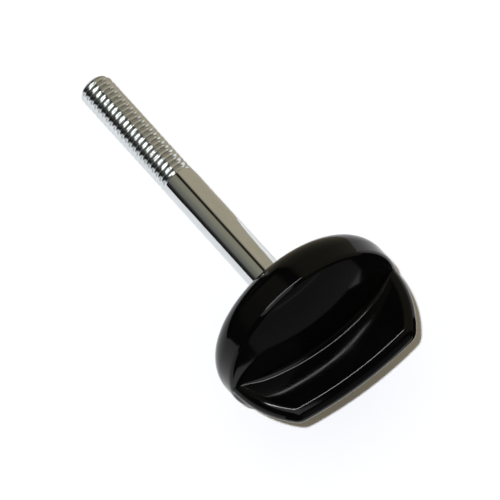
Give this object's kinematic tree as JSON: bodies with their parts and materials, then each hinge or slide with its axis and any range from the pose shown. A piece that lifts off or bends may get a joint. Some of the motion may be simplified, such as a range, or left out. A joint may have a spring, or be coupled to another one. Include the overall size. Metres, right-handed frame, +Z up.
{
  "type": "wing bolt",
  "caption": "Long partly threaded steel bolt moulded into a round, domed black plastic knob with a flat wing for finger and thumb.",
  "frame": {"origin": "on the surface that the bolt lies on, under the middle of its bounding box", "axes": "+Z up from the surface; the bolt's axis lies in the XZ plane with its tip towards -X and low, and its knob towards +X; the wing is level across Y"},
  "size_m": [0.096, 0.045, 0.0446],
  "materials": {
    "plated_steel": "bright zinc plate",
    "black_plastic": "gloss, as moulded"
  },
  "bodies": {
    "root": {"bolt": "plated_steel", "wing_knob": "black_plastic"}
  },
  "joints": []
}
